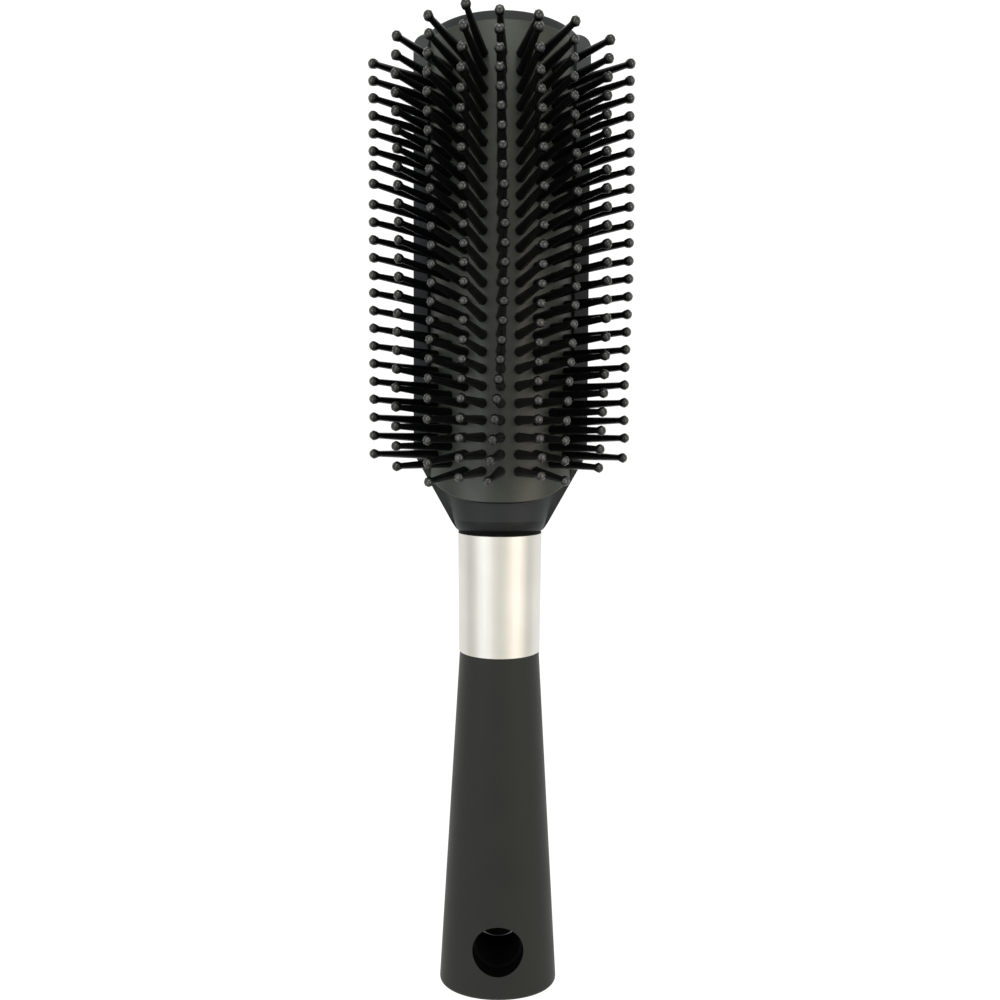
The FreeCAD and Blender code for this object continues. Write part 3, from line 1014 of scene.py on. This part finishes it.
def pin_rows(arch: HeadArch) -> list[PinRow]:
    """Give the nine rows, each with the slight sway that its pins have taken in use.

    Args:
        arch: The half round that they stand on.

    Returns:
        The rows from left to right.
    """
    return [
        PinRow(arch, Side.LEFT, 4, 23, (-2.15, -1.47, -1.04, -0.48, -0.54),
               (0.0, 0.43, 0.08, -0.41, -1.47), ((15, 0.0, 0.7), (16, 0.0, 0.8))),
        PinRow(arch, Side.LEFT, 3, 24, (-0.2, -0.15, 0.52, -0.09, -0.08),
               (-0.84, 0.75, 0.54, 0.2, -0.12)),
        PinRow(arch, Side.LEFT, 2, 25, (0.34, 0.52, 1.14, 0.26, 0.75),
               (-3.14, 0.4, 0.31, 0.3, -0.07), ((0, 0.0, 0.9), (24, -0.6, 0.0))),
        PinRow(arch, Side.LEFT, 1, 25, (-0.73, -0.06, 0.23, -0.46, 0.47),
               (-1.04, 0.05, 0.21, -0.06, 1.06)),
        PinRow(arch, Side.CENTRE, 0, 25, (-2.68, -0.11, 0.86, 0.02, -0.6),
               (-1.98, -0.12, 0.16, 0.12, -0.72)),
        PinRow(arch, Side.RIGHT, 1, 25, (1.4, -0.06, 0.78, 0.5, -0.57),
               (-0.61, -0.46, 0.06, 0.1, -1.31), ((0, -0.8, 0.0), (22, 0.0, 0.8), (23, 0.0, 1.4))),
        PinRow(arch, Side.RIGHT, 2, 25, (-2.06, -1.01, 0.45, -0.27, -0.43),
               (-1.84, -0.27, -0.08, -0.32, -1.18), ((16, 0.0, 0.8),)),
        PinRow(arch, Side.RIGHT, 3, 24, (-1.38, 0.25, 0.55, 0.05, 0.75),
               (-0.95, -0.25, 0.11, -0.22, -0.53)),
        PinRow(arch, Side.RIGHT, 4, 23, (-0.5, -1.06, 0.05, -0.18, -0.41),
               (-0.21, -0.27, -0.39, -0.5, -1.29), ((0, -1.2, -0.5),)),
    ]


@dataclass
class Collar:
    """The metal sleeve between head and grip. Sizes in mm."""

    top: float = -3.15
    end: float = -32.65
    top_half_width: float = 10.4
    end_half_width: float = 10.1
    half_height: float = 8.5
    wall: float = 0.8
    rim_round: float = 0.3
    segments: int = 96
    # Shares of its length that get a cross-section
    places: tuple[float, ...] = (0.0, 0.04, 0.5, 0.96, 1.0)

    def build(self, finishes: Finishes) -> bpy.types.Object:
        """Build the collar.

        Args:
            finishes: The material of every finish.

        Returns:
            The collar's object.
        """
        bm = bmesh.new()
        walls = []
        for inset in (0.0, self.wall):
            rings = []
            for share in self.places:
                width = self.top_half_width + (self.end_half_width - self.top_half_width) * share
                shape = oval(width - inset, self.half_height - inset, self.half_height)
                rings.append(ring(bm, self.segments, shape,
                                  self.top + (self.end - self.top) * share, HANDLE_SLANT))
            loft(rings, bm, closed=False)
            walls.append(rings)
        for at in (0, -1):
            bmesh.ops.bridge_loops(bm, edges=walls[0][at] + walls[1][at])
        collar = finish_mesh("collar_sleeve", bm, finishes[Finish.COLLAR])
        round_edges(collar, self.rim_round)
        place_piece(collar, "collar_metal", "collar")
        return collar


@dataclass
class Grip:
    """The soft sleeve with its rounded end and hang hole. Sizes in mm."""

    start: float = -32.65
    end: float = -118.25
    start_half_width: float = 9.9
    end_half_width: float = 14.8
    half_height: float = 8.5
    end_round: float = 1.3
    hole_along: float = -105.55
    hole_radius: float = 6.3
    hole_round: float = 0.4
    segments: int = 96
    steps: int = 12
    # Its own elastomer, and black painted shade on the wall of the hang hole
    zones: tuple[Finish, ...] = (Finish.GRIP, Finish.CORE)

    def half_width(self, along: float) -> float:
        """Half width of the sleeve at a place along it."""
        share = (self.start - along) / (self.start - self.end - self.end_round)
        return self.start_half_width + (self.end_half_width - self.start_half_width) * share

    def drill(self) -> bmesh.types.BMesh:
        """Make the round cutter of the hang hole, well longer than the grip is high.

        Returns:
            Its mesh, marked black as painted shade on the hole's wall.
        """
        drill = bmesh.new()
        bmesh.ops.create_cone(
            drill, cap_ends=True, segments=self.segments, radius1=self.hole_radius * MM,
            radius2=self.hole_radius * MM, depth=6 * self.half_height * MM,
            matrix=Matrix.Translation((0.0, self.hole_along * MM, self.half_height * MM)))
        for face in drill.faces:
            # painted shade: the hole's wall gets the core's black instead of the grip's elastomer
            face.material_index = self.zones.index(Finish.CORE)
        return drill

    def build(self, finishes: Finishes) -> bpy.types.Object:
        """Build the grip.

        Args:
            finishes: The material of every finish.

        Returns:
            The grip's object.
        """
        materials = [finishes[zone] for zone in self.zones]
        bm = bmesh.new()
        rings = []
        straight = self.end + self.end_round
        for step in range(self.steps + 1):
            along = self.start + (straight - self.start) * step / self.steps
            shape = oval(self.half_width(along), self.half_height, self.half_height)
            rings.append(ring(bm, self.segments, shape, along, HANDLE_SLANT))
        for reach, inset in quarter_turn(self.end_round, self.end_round):
            shape = oval(self.end_half_width - inset, self.half_height - inset, self.half_height)
            rings.append(ring(bm, self.segments, shape, straight - reach, HANDLE_SLANT))
        loft(rings, bm)
        grip = finish_mesh("grip_sleeve", bm, *materials)
        cut_away(grip, finish_mesh("hole_cutter", self.drill(), *materials))
        round_edges(grip, self.hole_round)
        place_piece(grip, "grip_rubber", "grip")
        return grip


@dataclass
class HandleCore:
    """The hard inner handle, seen only down the hang hole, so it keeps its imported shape."""

    node: str = "handle_core"

    def build(self, finishes: Finishes) -> bpy.types.Object:
        """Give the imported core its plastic.

        Args:
            finishes: The material of every finish.

        Returns:
            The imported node's object.
        """
        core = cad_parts[self.node]
        core.data.materials.clear()
        core.data.materials.append(finishes[Finish.CORE])
        log.info("%s keeps its packed shape", self.node)
        return core


@dataclass(frozen=True)
class Softbox:
    """A soft light that faces the brush: place and size in metres, power in watts."""

    name: str
    place: tuple[float, float, float]
    size: tuple[float, float]
    power: float
    colour: str

    def add(self) -> None:
        """Add the light to the scene, out of the camera's sight."""
        data = bpy.data.lights.new(self.name, "AREA")
        data.shape = "RECTANGLE"
        data.size, data.size_y = self.size
        data.energy = self.power
        data.color = linear_colour(self.colour)[:3]
        light = bpy.data.objects.new(self.name, data)
        light.location = self.place
        light.rotation_euler = (-Vector(self.place)).to_track_quat("-Z", "Y").to_euler()
        light.visible_camera = False
        bpy.context.scene.collection.objects.link(light)


@dataclass
class Studio:
    """Camera, pale floor and soft lights. Places in metres."""

    lens: float = 28.13
    sensor: float = 36.0
    nearest: float = 0.005
    camera_place: tuple[float, float, float] = (-0.00006, 0.01515, 0.2028)
    camera_tilt: tuple[float, float, float] = (-2.925, 0.0, 0.285)
    floor_radius: float = 4.0
    floor_sides: int = 64
    # The two at the sides draw the bands along the collar
    softboxes: tuple[Softbox, ...] = (
        Softbox("left_softbox", (-0.415, 0.0, 0.57), (0.6, 0.42), 1.1, "#f4fbff"),
        Softbox("right_softbox", (0.455, 0.0, 0.54), (0.6, 0.42), 1.28, "#fff5e7"),
        Softbox("head_softbox", (0.0, 0.75, 0.8), (0.7, 0.3), 2.2, "#fbfff8"))
    # Light of the room near the horizon and overhead, and the height where it levels off
    room_light: tuple[float, float] = (0.55, 0.82)
    room_level: float = 0.55
    room_colour: str = "#fffcf4"

    def add_camera(self) -> None:
        """Add the camera at the photograph's angle."""
        data = bpy.data.cameras.new("photo_camera")
        data.lens = self.lens
        data.sensor_width = self.sensor
        data.clip_start = self.nearest
        camera = bpy.data.objects.new("photo_camera", data)
        camera.location = self.camera_place
        camera.rotation_euler = [math.radians(angle) for angle in self.camera_tilt]
        bpy.context.scene.collection.objects.link(camera)
        bpy.context.scene.camera = camera

    def add_floor(self) -> None:
        """Add the pale floor."""
        bm = bmesh.new()
        bmesh.ops.create_circle(bm, cap_ends=True, segments=self.floor_sides,
                                radius=self.floor_radius)
        floor = finish_mesh("floor", bm, LightTable().material())

    def add_room(self) -> None:
        """Add the light of the room, paler overhead."""
        world = bpy.data.worlds.new("soft_white_room")
        world.use_nodes = True
        tree = world.node_tree
        tree.nodes.clear()
        way = add_node(tree, "ShaderNodeTexCoord").outputs["Generated"]
        height = add_node(tree, "ShaderNodeSeparateXYZ", {"Vector": way}).outputs["Z"]
        strength = add_node(tree, "ShaderNodeMapRange", {
            "Value": height, "From Min": 0.0, "From Max": self.room_level,
            "To Min": self.room_light[0], "To Max": self.room_light[1]}).outputs["Result"]
        glow = add_node(tree, "ShaderNodeBackground", {
            "Color": linear_colour(self.room_colour), "Strength": strength})
        add_node(tree, "ShaderNodeOutputWorld", {"Surface": glow.outputs["Background"]})
        bpy.context.scene.world = world

    def build(self) -> None:
        """Build the whole studio."""
        self.add_camera()
        self.add_floor()
        for softbox in self.softboxes:
            softbox.add()
        self.add_room()
        bpy.context.scene.view_settings.view_transform = "Standard"
        log.info("studio with %d soft lights", len(self.softboxes))


def main() -> None:
    """Build the studio, then every piece of the brush from the head down."""
    logging.basicConfig(level=logging.INFO, format="%(name)s: %(message)s")
    finishes = {kind: kind.value.material() for kind in Finish}
    Studio().build()
    arch = HeadArch()
    for piece in (HeadFrame(arch), CushionPad(arch), *pin_rows(arch), Collar(), Grip(),
                  HandleCore()):
        piece.build(finishes)


if __name__ == "__main__":
    main()
